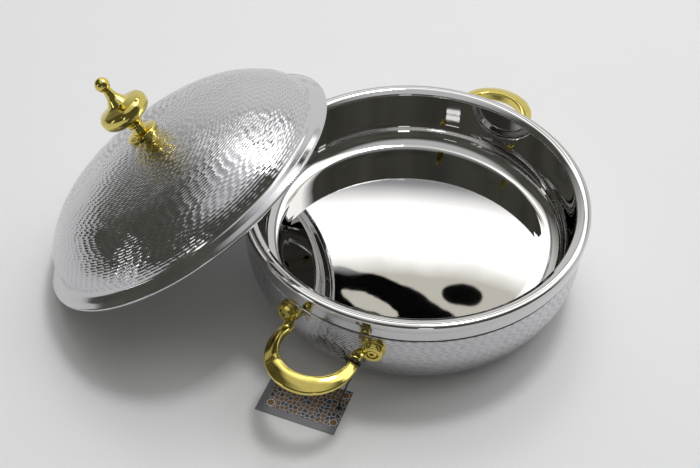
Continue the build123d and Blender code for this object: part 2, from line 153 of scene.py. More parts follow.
# ---- outer body ----
# The casserole's outer wall: one disc of stainless sheet, spun to a rounded tub on a pressed foot.
# A rolling tool strikes rows of small dashes round it, up to a groove below the rim.
rim_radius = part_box("inner_bowl")[1][0] / MM
sheet = 0.8
wall_radius = rim_radius - 1.6
band_radius = rim_radius - sheet - 0.1
foot_height = 2.6
foot_inner_radius = 92.0
foot_outer_radius = 110.5
fill_hole_radius = 7.0
belly_height = 26.0
groove_low = 62.8
groove_high = 65.2
groove_floor = wall_radius - 1.9
groove_slope = 0.8
wall_top = 76.8
wall_segments = 384
row_pitch = 1.85
dash_length = 7.0
dash_depth = 0.13
hammered_from = 9.0


def rounded(corners, radii, step):
    """An outline whose inner corners are arcs, with every run and arc cut into steps of about this length."""
    points = [Vector(corners[0])]
    for before, corner, after, radius in zip(corners, corners[1:], corners[2:], radii):
        corner = Vector(corner)
        back = (Vector(before) - corner).normalized()
        ahead = (Vector(after) - corner).normalized()
        if not radius:
            points.append(corner)
            continue
        half = back.angle(ahead) / 2
        centre = corner + (back + ahead).normalized() * radius / sin(half)
        spoke = corner + back * radius / tan(half) - centre
        turn = (pi - 2 * half) * (-1 if back.cross(ahead) > 0 else 1)
        pieces = max(3, ceil(radius * abs(turn) / step))
        for index in range(pieces + 1):
            points.append(centre + Matrix.Rotation(turn * index / pieces, 2) @ spoke)
    points.append(Vector(corners[-1]))
    cut = [points[0]]
    for start, end in zip(points, points[1:]):
        pieces = max(1, ceil((end - start).length / step - 0.01))
        cut += [start.lerp(end, index / pieces) for index in range(1, pieces + 1)]
    return cut


def spun(name, outline, segments):
    """A piece turned on a lathe: its outline drawn point by point, then spun about Z and closed."""
    bpy.ops.object.select_all(action="DESELECT")
    bpy.ops.mesh.primitive_circle_add(vertices=3, radius=MM)
    piece = bpy.context.object
    piece.name = name
    bpy.ops.object.mode_set(mode="EDIT")
    bpy.ops.mesh.merge(type="CENTER")
    at = Vector((0, 0, 0))
    for index, (radius, height) in enumerate(outline):
        target = Vector((radius * MM, 0, height * MM))
        if index:
            bpy.ops.mesh.extrude_vertices_move(TRANSFORM_OT_translate={"value": target - at})
        else:
            bpy.ops.transform.translate(value=target)
        at = target
    bpy.ops.mesh.select_all(action="SELECT")
    bpy.ops.mesh.remove_doubles(threshold=0.001 * MM)
    bpy.ops.object.mode_set(mode="OBJECT")
    lathe = piece.modifiers.new("lathe", "SCREW")
    lathe.steps = segments
    lathe.render_steps = segments
    lathe.use_merge_vertices = True
    lathe.merge_threshold = 0.002 * MM
    bpy.ops.object.modifier_apply(modifier=lathe.name)
    bpy.ops.object.mode_set(mode="EDIT")
    bpy.ops.mesh.select_all(action="SELECT")
    bpy.ops.mesh.normals_make_consistent(inside=False)
    bpy.ops.object.mode_set(mode="OBJECT")
    bpy.ops.object.shade_smooth()
    return piece


# A dash is hollowed as u (1 - u) v (1 - v), with u along it and v across it. That peaks at its middle.
hollow_peak = 1 / 16


def hammered(piece, path, pitch, dash, depth, seed):
    """Strikes rows of dashes along a stretch of a spun wall, and maps each dash for its material."""
    # Each vertex of the stretch takes its row from the nearest point of the path.
    mesh = piece.data
    stretch = np.array([(radius * MM, height * MM) for radius, height in path])
    along = np.concatenate([[0], np.cumsum(np.hypot(*np.diff(stretch, axis=0).T))]) / (pitch * MM)
    finder = KDTree(len(stretch))
    for index, (radius, height) in enumerate(stretch):
        finder.insert((radius, height, 0), index)
    finder.balance()
    places = np.empty(len(mesh.vertices) * 3)
    mesh.vertices.foreach_get("co", places)
    places = places.reshape(-1, 3)
    around = np.arctan2(places[:, 1], places[:, 0]) / (2 * pi)
    reach = np.hypot(places[:, 0], places[:, 1])
    row = np.full(len(places), -1.0)
    for index, (radius, height) in enumerate(zip(reach, places[:, 2])):
        _, nearest, gap = finder.find((radius, height, 0))
        if gap < 0.01 * MM:
            row[index] = along[nearest]

    # A row holds a whole number of dashes and starts at an angle of its own. Some are struck harder.
    rows = int(np.ceil(along[-1])) + 1
    middle = np.interp(np.arange(rows) + 0.5, along, stretch[:, 0])
    dashes = np.maximum(6, np.round(2 * pi * middle / (dash * MM)))
    chance = np.random.default_rng(seed)
    start = chance.random(rows)
    strength = chance.uniform(0.45, 1.2, (rows, int(dashes.max()) + 1))
    struck = row >= 0
    line = np.clip(np.floor(row + 1e-4).astype(int), 0, rows - 1)
    turn = np.mod(around * dashes[line] + start[line], dashes[line])
    column = np.floor(turn).astype(int)
    across = np.clip(row - line, 0, 1)
    hollow = (turn - column) * (1 - turn + column) * across * (1 - across) / hollow_peak
    hollow *= strength[line, np.clip(column, 0, strength.shape[1] - 1)]
    normals = np.empty(len(places) * 3)
    mesh.vertices.foreach_get("normal", normals)
    places -= np.where(struck, hollow, 0)[:, None] * depth * MM * normals.reshape(-1, 3)

    # The map counts dashes round the wall and rows up it, so that a whole number is a dash's edge.
    corner = np.empty(len(mesh.loops), dtype=int)
    mesh.loops.foreach_get("vertex_index", corner)
    first = np.empty(len(mesh.polygons), dtype=int)
    mesh.polygons.foreach_get("loop_start", first)
    sides = np.diff(np.append(first, len(corner)))
    owner = np.repeat(np.arange(len(sides)), sides)
    face_row = np.add.reduceat(row[corner], first) / sides
    whole = np.minimum.reduceat(row[corner], first) >= 0
    face_line = np.clip(np.floor(face_row).astype(int), 0, rows - 1)
    face_turn = around[corner[first]]
    wrapped = around[corner] - face_turn[owner]
    wrapped = face_turn[owner] + wrapped - np.round(wrapped)
    u = wrapped * dashes[face_line][owner] + start[face_line][owner]
    uv = np.column_stack([u, row[corner]]) * whole[owner][:, None]
    layer = mesh.uv_layers.new(name="dashes")
    layer.data.foreach_set("uv", uv.ravel())
    mesh.vertices.foreach_set("co", places.ravel())
    mesh.update()


def finished(piece, material, body, slot, *replaced):
    """Gives a piece its material, the body that it moves with, and the nodes that it stands for."""
    piece.data.materials.clear()
    piece.data.materials.append(material)
    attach(piece, body)
    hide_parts(*replaced)


# Stainless steel, hammered and then buffed: mirror-bright facets, each dash a shallow hollow that
# gathers light in short streaks and is painted darker grey from 0.32 of its depth, as painted shade. The haze
# of the buffing wheel is finer on real steel, and its grain is drawn at 0.5 mm so that it shows.
hammered_steel = new_material("buffed_hammered_stainless", "#C9C9CB", 0.11, metallic=1.0)
tree = hammered_steel.node_tree
dash_relief = 0.14
hollow_shade_from = 0.32
hollow_shade_full = 0.992
haze_size = 9.0
grain_size = 0.5
grain_relief = 0.004
noise_range = {"From Min": 0.3, "From Max": 0.7}

dash_map = node(tree, "UVMap", uv_map="dashes")
split = node(tree, "SeparateXYZ", {"Vector": dash_map})
hollow = 1.0
for axis in ("X", "Y"):
    part = node(tree, "Math", {0: split.outputs[axis]}, operation="FRACT")
    rest = node(tree, "Math", {0: 1.0, 1: part}, operation="SUBTRACT")
    arch = node(tree, "Math", {0: part, 1: rest}, operation="MULTIPLY")
    hollow = node(tree, "Math", {0: hollow, 1: arch}, operation="MULTIPLY")
place = node(tree, "TexCoord").outputs["Object"]
uneven = node(tree, "TexNoise", {"Vector": place, "Scale": 1 / (haze_size * MM), "Detail": 3.0})
depth = node(tree, "MapRange", {"Value": uneven, **noise_range, "To Min": -0.5 * dash_relief / hollow_peak,
                                "To Max": -1.5 * dash_relief / hollow_peak})
pressed = node(tree, "Math", {0: hollow, 1: depth}, operation="MULTIPLY")
relief = node(tree, "Bump", {"Height": pressed, "Distance": MM, "Strength": 1.0})
grain = node(tree, "TexNoise", {"Vector": place, "Scale": 1 / (grain_size * MM), "Detail": 2.0})
rubbed = node(tree, "Bump", {"Height": grain, "Distance": grain_relief * MM, "Strength": 1.0,
                             "Normal": relief})
dull = node(tree, "MapRange", {"Value": uneven, **noise_range, "To Min": 0.07, "To Max": 0.16})
# Painted shade: each dash is painted a darker grey towards the deepest part of its hollow.
hollow_shade = node(tree, "MapRange", {"Value": hollow, "From Min": hollow_shade_from * hollow_peak,
                               "From Max": hollow_shade_full * hollow_peak})
shade = node(tree, "Mix", {"Factor": hollow_shade, "A": colour("#D2D2D4"), "B": colour("#BCBCC0")}, data_type="RGBA")
surface(hammered_steel, {"Base Color": shade, "Normal": rubbed, "Roughness": dull})

# The outline is coarse under the base, finer round its edge, and finest where the dashes are.
foot_corners = [
    (fill_hole_radius, foot_height),
    (foot_inner_radius - foot_height, foot_height),
    (foot_inner_radius, 0),
    (foot_outer_radius, 0),
    (wall_radius, belly_height),
    (wall_radius, groove_low),
]
foot_radii = [1.3, 1.3, 24, 58]
plain_base = rounded(foot_corners, foot_radii, 2.5)
fine_wall = rounded(foot_corners, foot_radii, row_pitch / 4)
base_part = [point for point in plain_base if point.x < foot_outer_radius or point.y < 1.0]
wall_part = [point for point in fine_wall if point.y > hammered_from]
turn_part = [point for point in fine_wall[::3] if point.y <= hammered_from and point.x > base_part[-1].x + 1]
groove = rounded([
    (wall_radius, groove_low),
    (groove_floor, groove_low + groove_slope),
    (groove_floor, groove_high - groove_slope),
    (band_radius, groove_high),
    (band_radius, wall_top),
], [0.5, 0.5, 0.4], 0.4)
inside = rounded([
    (band_radius - sheet, wall_top),
    (band_radius - sheet, groove_high),
    (groove_floor - sheet, groove_high - groove_slope),
    (groove_floor - sheet, groove_low + groove_slope),
    (wall_radius - sheet, groove_low),
    (wall_radius - sheet, belly_height),
    (foot_outer_radius - 0.4, sheet),
    (foot_inner_radius, sheet),
    (foot_inner_radius - foot_height, foot_height + sheet),
    (fill_hole_radius, foot_height + sheet),
    (fill_hole_radius, foot_height),
], [0, 0, 0, 0, 57, 23, 0, 0, 0], 12)
body_outline = base_part + turn_part + wall_part + groove[1:] + inside
shell = spun("hammered_body", body_outline, wall_segments)
hammered(shell, wall_part, row_pitch, dash_length, dash_depth, seed=4)
finished(shell, hammered_steel, "casserole", "hammered_steel", "outer_shell")

# The groove is painted a dark grey, as painted shade for the dark that shows between its walls, and is left
# rougher in patches.
groove_shade_steel = new_material("stainless_with_painted_groove_shade", "#4E4C46", 0.32, metallic=1.0)
tree = groove_shade_steel.node_tree
rough_patch_size = 4.0
place = node(tree, "TexCoord").outputs["Object"]
rough_patches = node(tree, "TexNoise", {"Vector": place, "Scale": 1 / (rough_patch_size * MM), "Detail": 3.0})
dull = node(tree, "MapRange", {"Value": rough_patches, **noise_range, "To Min": 0.24, "To Max": 0.42})
surface(groove_shade_steel, {"Roughness": dull})
shell.data.materials.append(groove_shade_steel)
# The groove's faces take the painted shade.
for face in shell.data.polygons:
    reach = Vector(face.center[:2]).length / MM
    height = face.center.z / MM
    if groove_low < height < groove_high and groove_floor - 0.2 < reach < wall_radius - 0.3:
        face.material_index = 1


# ---- bowl and rim ----
# The inner bowl is spun from thinner sheet, rolled over the wall as the rim, and polished to a mirror.
# Its floor is crowned so that it lies flat under heat.
rim_middle = 78.0
rim_top = rim_middle + 3.2
mouth_radius = rim_radius - 10.5
bowl_floor = rim_middle - 47.0
bowl_rise = 1.6
bowl_draft = 1.2
crown_radius = mouth_radius - bowl_draft - 22.3
crown_curve = 2820
bowl_wall_top = (mouth_radius - 0.1, rim_middle - 5)
lip_height = rim_middle - 3.4
bowl_segments = 560

# Stainless steel, mirror polished: an even, deep gloss, with the slight waves that spinning leaves
# in the sheet. The polishing mop's haze is finer on real steel, and is drawn at 1.2 mm so that it shows.
mirror_steel = new_material("mirror_polished_stainless", "#CFCECD", 0.03, metallic=1.0)
tree = mirror_steel.node_tree
wave_size = 55.0
wave_height = 0.045
mop_size = 1.2
mop_relief = 0.0015
place = node(tree, "TexCoord").outputs["Object"]
waves = node(tree, "TexNoise", {"Vector": place, "Scale": 1 / (wave_size * MM), "Detail": 1.0})
relief = node(tree, "Bump", {"Height": waves, "Distance": wave_height * MM, "Strength": 1.0})
mop = node(tree, "TexNoise", {"Vector": place, "Scale": 1 / (mop_size * MM), "Detail": 2.0})
rubbed = node(tree, "Bump", {"Height": mop, "Distance": mop_relief * MM, "Strength": 1.0, "Normal": relief})
dull = node(tree, "MapRange", {"Value": waves, **noise_range, "To Min": 0.008, "To Max": 0.025})
surface(mirror_steel, {"Normal": rubbed, "Roughness": dull})

floor_run = rounded([
    (0, bowl_floor + bowl_rise),
    (crown_radius / 2, bowl_floor + bowl_rise),
    (crown_radius, bowl_floor),
    (mouth_radius - bowl_draft, bowl_floor),
    bowl_wall_top,
], [crown_curve, 6, 17], 3.0)
rim_run = rounded([
    bowl_wall_top,
    (mouth_radius, rim_top - 4.0),
    (rim_radius - 4.8, rim_top),
    (rim_radius, rim_top - 1.6),
    (rim_radius, lip_height),
], [2.0, 7, 2.6], 0.35)
under_run = rounded([
    (rim_radius - sheet, lip_height),
    (rim_radius - sheet, rim_top - 2.6),
    (mouth_radius + sheet, rim_top - 4.8),
    (mouth_radius - bowl_draft + sheet, bowl_floor - sheet),
    (crown_radius, bowl_floor - sheet),
    (crown_radius / 2, bowl_floor + bowl_rise - sheet),
    (0, bowl_floor + bowl_rise - sheet),
], [1.6, 0.5, 17.8, 6, crown_curve], 6)
bowl = spun("polished_bowl", floor_run + rim_run[1:] + under_run, bowl_segments)
finished(bowl, mirror_steel, "casserole", "polished_steel", "inner_bowl")


# ---- inside the walls ----
# Rigid foam fills both double walls. A moulded plug closes the hole in the base that it goes in by.
def dressed(material, *nodes):
    """A CAD node keeps its shape and takes this material."""
    for name in nodes:
        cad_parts[name].data.materials.clear()
        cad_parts[name].data.materials.append(material)


# Polyurethane foam, free-risen: straw coloured, matt, with cells under a millimetre.
foam = new_material("polyurethane_foam", "#E3CF97", 0.9)
tree = foam.node_tree
cell_size = 0.9
cell_depth = 0.25
place = node(tree, "TexCoord").outputs["Object"]
cells = node(tree, "TexVoronoi", {"Vector": place, "Scale": 1 / (cell_size * MM)})
relief = node(tree, "Bump", {"Height": cells, "Distance": cell_depth * MM, "Strength": 0.8})
shade = node(tree, "Mix", {"Factor": cells, "A": colour("#E9D7A4"), "B": colour("#CDB679")}, data_type="RGBA")
surface(foam, {"Normal": relief, "Base Color": shade})
dressed(foam, "body_insulation", "lid_insulation")

# Polypropylene, moulded in a spark-eroded tool: charcoal grey with a fine matt texture.
moulded_plastic = new_material("moulded_polypropylene", "#2B2B2D", 0.5)
tree = moulded_plastic.node_tree
spark_size = 0.35
spark_depth = 0.03
place = node(tree, "TexCoord").outputs["Object"]
texture = node(tree, "TexNoise", {"Vector": place, "Scale": 1 / (spark_size * MM)})
relief = node(tree, "Bump", {"Height": texture, "Distance": spark_depth * MM, "Strength": 0.8})
surface(moulded_plastic, {"Normal": relief})
dressed(moulded_plastic, "fill_plug")


# ---- handles ----
# Two loop handles of cast brass, upright inside the grip and sloped to a thin outer lip, polished. Each has
# two bosses on the wall, a collar where the bar leaves each boss, and a deep seat in each boss for its screw.
handle_height = 51.4
handle_turns = {"front": -114.3, "back": 65.7}
boss_turn = 15.11
boss_radius = 8.0
boss_face_radius = 7.4
boss_base_radius = 8.6
boss_length = 6.3
seat_radius = 4.2
seat_depth = 2.9
seat_edge = 0.25
collar_radius = 4.4
collar_length = 5.0
loop_corners = [(126.1, 29.8), (136.9, 26.4), (145.0, 28.4), (175.5, 28.4)]
loop_radii = [10, 20, 28, 28, 20, 10]

# The bar's section is in shares of its half width and half height, with the inner side towards +X.
bar_width = 12.9
bar_height = 9.4
bar_section = [(0, -0.9), (0.95, -0.9), (0.98, 1.0), (0.05, 0.96),
               (-0.98, 0.20), (-0.98, -0.30), (-0.72, -0.80), (0, -0.9)]
bar_section_radii = [1.2, 1.3, 18.0, 1.3, 0.9, 1.2]

# From each boss the bar widens over its foot and then swells to full size, in shares of its length.
foot_run = 0.1
swell_run = 0.36
collar_run = 0.085
boss_end_size = 0.46
foot_end_size = 0.60

# Brass, cast and polished: warm yellow, mirror bright, with faint hand-polishing waves.
polished_brass = new_material("polished_cast_brass", "#DECB70", 0.07, metallic=1.0)
tree = polished_brass.node_tree
hand_wave_size = 7.0
hand_wave_height = 0.10
place = node(tree, "TexCoord").outputs["Object"]
waves = node(tree, "TexNoise", {"Vector": place, "Scale": 1 / (hand_wave_size * MM), "Detail": 1.5})
relief = node(tree, "Bump", {"Height": waves, "Distance": hand_wave_height * MM, "Strength": 1.0})
tarnish = node(tree, "Mix", {"Factor": waves, "A": colour("#D2BF5E"), "B": colour("#E6D680")},
               data_type="RGBA")
dull = node(tree, "MapRange", {"Value": waves, **noise_range, "To Min": 0.05, "To Max": 0.11})
surface(polished_brass, {"Normal": relief, "Base Color": tarnish, "Roughness": dull})


def chosen(piece):
    """Selects one piece alone, for the operators that follow."""
    bpy.ops.object.select_all(action="DESELECT")
    piece.select_set(True)
    bpy.context.view_layer.objects.active = piece


def meshed(piece):
    """Turns a curve into a mesh."""
    chosen(piece)
    bpy.ops.object.convert(target="MESH")
    return bpy.context.object


def bar(name, route, sizes):
    """A bar swept along a level route, with its size at each point as a share of the full one."""
    section = bpy.data.curves.new(f"{name}_section", "CURVE")
    outline = section.splines.new("POLY")
    corners = [(across * bar_width / 2, up * bar_height / 2) for across, up in bar_section]
    places = rounded(corners, bar_section_radii, 0.6)[:-1]
    outline.points.add(len(places) - 1)
    for point, (across, up) in zip(outline.points, places):
        point.co = (across * MM, up * MM, 0, 1)
    outline.use_cyclic_u = True
    profile = bpy.data.objects.new(f"{name}_section", section)
    bpy.context.collection.objects.link(profile)
    curve = bpy.data.curves.new(name, "CURVE")
    curve.dimensions = "3D"
    curve.twist_mode = "Z_UP"
    spline = curve.splines.new("POLY")
    spline.points.add(len(route) - 1)
    for point, (x, y), size in zip(spline.points, route, sizes):
        point.co = (x * MM, y * MM, 0, 1)
        point.radius = size
    curve.bevel_mode = "OBJECT"
    curve.bevel_object = profile
    curve.use_fill_caps = True
    piece = bpy.data.objects.new(name, curve)
    bpy.context.collection.objects.link(piece)
    piece = meshed(piece)
    bpy.data.objects.remove(profile)
    bpy.ops.object.mode_set(mode="EDIT")
    bpy.ops.mesh.select_all(action="SELECT")
    bpy.ops.mesh.remove_doubles(threshold=0.001 * MM)
    bpy.ops.mesh.normals_make_consistent(inside=False)
    bpy.ops.object.mode_set(mode="OBJECT")
    return piece


def settled(piece, matrix):
    """Moves a piece to its place and applies that to its mesh."""
    chosen(piece)
    piece.matrix_world = matrix
    bpy.ops.object.transform_apply(location=True, rotation=True, scale=True)
    return piece


def joined(name, pieces):
    """Joins pieces into one and names it."""
    chosen(pieces[0])
    for piece in pieces[1:]:
        piece.select_set(True)
    bpy.ops.object.join()
    bpy.context.object.name = name
    return bpy.context.object


def out_of_axis(turn, distance, height):
    """Turns a piece made along +Z to point straight out of the casserole's axis."""
    place = Matrix.Translation((distance * MM, 0, height * MM))
    return Matrix.Rotation(radians(turn), 4, "Z") @ place @ Matrix.Rotation(pi / 2, 4, "Y")


loop = rounded(loop_corners + [(x, -y) for x, y in reversed(loop_corners)], loop_radii, 1.0)
run = [0.0]
for before, after in zip(loop, loop[1:]):
    run.append(run[-1] + (after - before).length)
loop_sizes = []
for distance in run:
    share = 0.5 - abs(distance / run[-1] - 0.5)
    foot = min(1, share / foot_run)
    swell = min(1, max(0, (share - foot_run) / swell_run))
    loop_sizes.append(boss_end_size + (foot_end_size - boss_end_size) * foot
                      + (1 - foot_end_size) * swell * swell * (3 - 2 * swell))

boss_outline = rounded([
    (0, -0.3),
    (boss_base_radius, -0.3),
    (boss_base_radius, 1.8),
    (boss_radius - 0.6, 1.8),
    (boss_radius - 0.6, 2.5),
    (boss_radius, 2.5),
    (boss_face_radius, boss_length),
    (seat_radius + seat_edge, boss_length),
    (seat_radius, boss_length - seat_edge),
    (seat_radius, boss_length - seat_depth),
    (0, boss_length - seat_depth),
], [0.2, 0.5, 0.2, 0.2, 0.3, 1.0, 0.2, 0.2, 0], 0.4)
collar_outline = rounded([
    (0, -collar_length / 2),
    (collar_radius, -collar_length / 2),
    (collar_radius, collar_length / 2),
    (0, collar_length / 2),
], [0.9, 0.9], 0.4)
collar_index = next(index for index, distance in enumerate(run) if distance > collar_run * run[-1])
collar_x, collar_y = loop[collar_index]
collar_way = loop[collar_index + 1] - loop[collar_index]
collar_heading = atan2(collar_way.y, collar_way.x)

for side, turn in handle_turns.items():
    parts = [bar(f"{side}_bar", loop, loop_sizes)]
    parts[0].data.transform(Matrix.Translation((0, 0, handle_height * MM)))
    for sign in (1, -1):
        boss = spun(f"{side}_boss", boss_outline, 72)
        parts.append(settled(boss, out_of_axis(sign * boss_turn, wall_radius, handle_height)))
        collar = spun(f"{side}_collar", collar_outline, 48)
        place = Matrix.Translation((collar_x * MM, sign * collar_y * MM, handle_height * MM))
        heading = Matrix.Rotation(sign * collar_heading, 4, "Z")
        parts.append(settled(collar, place @ heading @ Matrix.Rotation(pi / 2, 4, "Y")))
    casting = joined(f"{side}_handle_casting", parts)
    settled(casting, Matrix.Rotation(radians(turn), 4, "Z"))
    bpy.ops.object.shade_smooth_by_angle(angle=radians(35))
    finished(casting, polished_brass, "casserole", "polished_brass", f"handle_{side}")


# ---- handle screws and what they clamp ----
# Brass button-headed screws with a hexagon socket, two to a handle. Each passes through the wall and a
# curved backing plate to a nut inside the foam.
screw_head_radius = 3.7
screw_head_length = 2.6
screw_recess = 0.2
shank_radius = 2.5
shank_length = 16.0
socket_flats = 3.0
socket_depth = 1.7
cutter_length = 4.0

# Stainless steel, turned and left bright: fine rings of tool marks and a soft gloss.
bright_steel = new_material("bright_turned_stainless", "#B9B7B0", 0.22, metallic=1.0)
tree = bright_steel.node_tree
tool_mark = 0.4
tool_mark_depth = 0.02
place = node(tree, "TexCoord").outputs["Object"]
marks = node(tree, "TexNoise", {"Vector": place, "Scale": 1 / (tool_mark * MM), "Detail": 3.0})
relief = node(tree, "Bump", {"Height": marks, "Distance": tool_mark_depth * MM, "Strength": 1.0})
dull = node(tree, "MapRange", {"Value": marks, **noise_range, "To Min": 0.16, "To Max": 0.30})
surface(bright_steel, {"Normal": relief, "Roughness": dull})
dressed(bright_steel, "handle_nuts_front", "handle_nuts_back", "backing_plate_front", "backing_plate_back",
        "knob_stud", "lid_washer", "lid_nut")


def cut_out(piece, cutter):
    """Cuts the cutter's shape out of a piece, and clears the cutter away."""
    cut = piece.modifiers.new("cut", "BOOLEAN")
    cut.object = cutter
    cut.operation = "DIFFERENCE"
    chosen(piece)
    bpy.ops.object.modifier_apply(modifier=cut.name)
    bpy.data.objects.remove(cutter)


head_outline = rounded([
    (0, 0),
    (screw_head_radius, 0),
    (screw_head_radius, screw_head_length),
    (0, screw_head_length),
], [0.2, 0.9], 0.3)
shank_outline = rounded([
    (0, -shank_length),
    (shank_radius, -shank_length),
    (shank_radius, 0.5),
    (0, 0.5),
], [0.5, 0], 1.0)
key_height = screw_head_length - socket_depth + cutter_length / 2
head_distance = wall_radius + boss_length - screw_recess - screw_head_length
for side, turn in handle_turns.items():
    parts = []
    for sign in (1, -1):
        head = spun("screw_head", head_outline, 64)
        bpy.ops.object.select_all(action="DESELECT")
        bpy.ops.mesh.primitive_cylinder_add(vertices=6, radius=socket_flats / sqrt(3) * MM,
                                            depth=cutter_length * MM, location=(0, 0, key_height * MM))
        cut_out(head, bpy.context.object)
        shank = spun("screw_shank", shank_outline, 24)
        screw = joined("screw", [head, shank])
        parts.append(settled(screw, out_of_axis(turn + sign * boss_turn, head_distance, handle_height)))
    screws = joined(f"{side}_button_screws", parts)
    bpy.ops.object.shade_smooth_by_angle(angle=radians(30))
    finished(screws, polished_brass, "casserole", "polished_brass", f"handle_screws_{side}")


# ---- lid ----
# The lid is a spun dome on a flat flange with a rolled hem, hammered like the wall down to the flange's root.
# It stands on its hem, leant back on the rim, so it is made level and then tipped into place.
lid_lean = 32.8
lid_azimuth = 170.5
lid_centre = (-174.37, 2.01, 68.41)
hem_radius = 1.2
lid_radius = rim_radius - 2.9
dome_radius = lid_radius - 14.1
flange_height = 6.5
dome_top = flange_height + 47.0
dome_foot = lid_radius - 9.4
dome_side = (dome_radius + 1.8, flange_height + 11.4)
shoulder_radius = 0.823 * dome_radius
crown_edge = 0.336 * dome_radius
root_radius = 2.4
root_top = flange_height + root_radius
stud_hole = 3.25
lid_segments = 370
lid_place = (
    Matrix.Translation([value * MM for value in lid_centre])
    @ Matrix.Rotation(radians(lid_azimuth), 4, "Z")
    @ Matrix.Rotation(radians(lid_lean), 4, "Y")
)

dome_corners = [
    (lid_radius - sheet, 1.6 * hem_radius),
    (lid_radius - 4.2, 4.4),
    (dome_foot, flange_height),
    dome_side,
    (shoulder_radius, flange_height + 30.55),
    (crown_edge, dome_top),
    (0, dome_top),
]
dome_radii = [4, root_radius, 26, 70.7, 254.4]
plain_dome = rounded(dome_corners, dome_radii, 0.6)
fine_dome = rounded(dome_corners, dome_radii, row_pitch / 3)
flange_part = [point for point in plain_dome if point.x >= dome_foot - 2.5 and point.y < root_top]
dome_part = [point for point in fine_dome if point.y >= root_top and point.x > stud_hole + 6]
hem_middle = Vector((lid_radius - hem_radius, hem_radius))
hem_spoke = Vector((hem_radius, 0))
hem = [hem_middle + Matrix.Rotation(radians(angle), 2) @ hem_spoke for angle in range(-150, 46, 15)]
dome_inside = rounded([
    (dome_part[-1].x, dome_top - sheet - 0.2),
    (crown_edge, dome_top - sheet),
    (shoulder_radius - 0.7, flange_height + 30.3 - sheet),
    (dome_side[0] - sheet, dome_side[1]),
    (dome_foot - sheet, flange_height - sheet),
    (lid_radius - 4.2, 4.4 - sheet),
    (lid_radius - 2.2, 2.4),
], [250, 69, 25, 2, 3], 10)
lid_outline = hem + flange_part + dome_part + dome_inside + [hem[0]]
dome = spun("hammered_dome", lid_outline, lid_segments)
hammered(dome, dome_part, row_pitch, dash_length, dash_depth, seed=9)
settled(dome, lid_place)
finished(dome, hammered_steel, "lid", "hammered_steel", "lid_dome")

# The liner is a flat-bottomed pan that drops into the mouth. Its edge lies under the flange, inside the hem.
pan_radius = 102.0
pan_mouth_radius = 116.4
pan_edge_radius = 124.1
pan_depth = 13.6
pan_edge_height = 1.2
liner_outline = rounded([
    (0, -pan_depth),
    (pan_radius, -pan_depth),
    (pan_mouth_radius, pan_edge_height),
    (pan_edge_radius, pan_edge_height),
    (pan_edge_radius, pan_edge_height + sheet),
    (pan_mouth_radius - 0.5, pan_edge_height + sheet),
    (pan_radius - 0.4, sheet - pan_depth),
    (0, sheet - pan_depth),
], [6, 2.5, 0, 0, 3.3, 5.2], 2.0)
liner = spun("polished_liner", liner_outline, 256)
settled(liner, lid_place)
finished(liner, mirror_steel, "lid", "polished_steel", "lid_liner")


# ---- knob ----
# A finial of solid brass, turned in one piece with its neck, bulb, spire and ball, and polished.
# It stands on a turned brass flange and is screwed onto a stud through the dome.
ball_radius = 5.5
ball_height = 47.0
ball_from = -0.9
ball_steps = 29
finial_outline = rounded([
    (0, 3.4),
    (6.4, 3.4),
    (4.9, 8.5),
    (6.2, 8.5),
    (6.2, 11.1),
    (5.2, 11.1),
    (7.5, 13.6),
    (19.4, 16.6),
    (19.4, 25.2),
    (17.0, 27.6),
    (8.2, 30.0),
    (4.4, 35.9),
    (3.0, 42.8),
], [0.4, 0.3, 1.1, 0.8, 0.3, 2, 6.9, 5, 0.5, 3, 10], 0.5)
ball = []
for step in range(1, ball_steps):
    angle = ball_from + (pi / 2 - ball_from) * step / ball_steps
    ball.append(Vector((ball_radius * cos(angle), ball_height + ball_radius * sin(angle))))
ball.append(Vector((0, ball_height + ball_radius)))
finial = spun("brass_finial", finial_outline[:-1] + ball, 128)
settled(finial, lid_place @ Matrix.Translation((0, 0, dome_top * MM)))
bpy.ops.object.shade_smooth_by_angle(angle=radians(40))
finished(finial, polished_brass, "lid", "polished_brass", "knob")

flange_outline = rounded([
    (stud_hole, -0.6),
    (10.6, -0.6),
    (12.3, 0.2),
    (12.3, 2.6),
    (8.0, 3.4),
    (stud_hole, 3.4),
    (stud_hole, -0.6),
], [1, 1.0, 1.2, 3, 0], 0.4)
knob_base = spun("brass_knob_flange", flange_outline, 96)
settled(knob_base, lid_place @ Matrix.Translation((0, 0, dome_top * MM)))
bpy.ops.object.shade_smooth_by_angle(angle=radians(40))
finished(knob_base, polished_brass, "lid", "polished_brass", "knob_flange")


# ---- hang tag ----
# A small card printed with an irregular lattice, tied to the handle by the string. The
# string goes through the eyelet and ends in a knot.
card_length = 60.0
card_width = 38.0
card_thickness = 0.5
card_edge = 0.08
card_turn = -15.5
card_corner = (-44.04, -165.36, 0)
eyelet_inset = 4.0
eyelet_across = 20.5
eyelet_radius = 1.6
print_unit = 100.0

bpy.ops.object.select_all(action="DESELECT")
bpy.ops.mesh.primitive_cube_add(size=1)
card = bpy.context.object
card.name = "printed_card"
card.data.transform(Matrix.Diagonal((card_length * MM, card_width * MM, card_thickness * MM, 1)))
card.data.transform(Matrix.Translation((-card_length / 2 * MM, card_width / 2 * MM, card_thickness / 2 * MM)))
bpy.ops.mesh.primitive_cylinder_add(vertices=32, radius=eyelet_radius * MM, depth=cutter_length * MM,
                                    location=(-eyelet_inset * MM, eyelet_across * MM, 0))
cut_out(card, bpy.context.object)
edge = card.modifiers.new("edge", "BEVEL")
edge.width = card_edge * MM
edge.segments = 2
edge.limit_method = "ANGLE"
bpy.ops.object.modifier_apply(modifier=edge.name)
print_map = card.data.uv_layers.new(name="print")
for corner in card.data.loops:
    place = card.data.vertices[corner.vertex_index].co
    print_map.data[corner.index].uv = (place.x / MM / print_unit, place.y / MM / print_unit)
card_place = Matrix.Translation([value * MM for value in card_corner])
settled(card, card_place @ Matrix.Rotation(radians(card_turn), 4, "Z"))

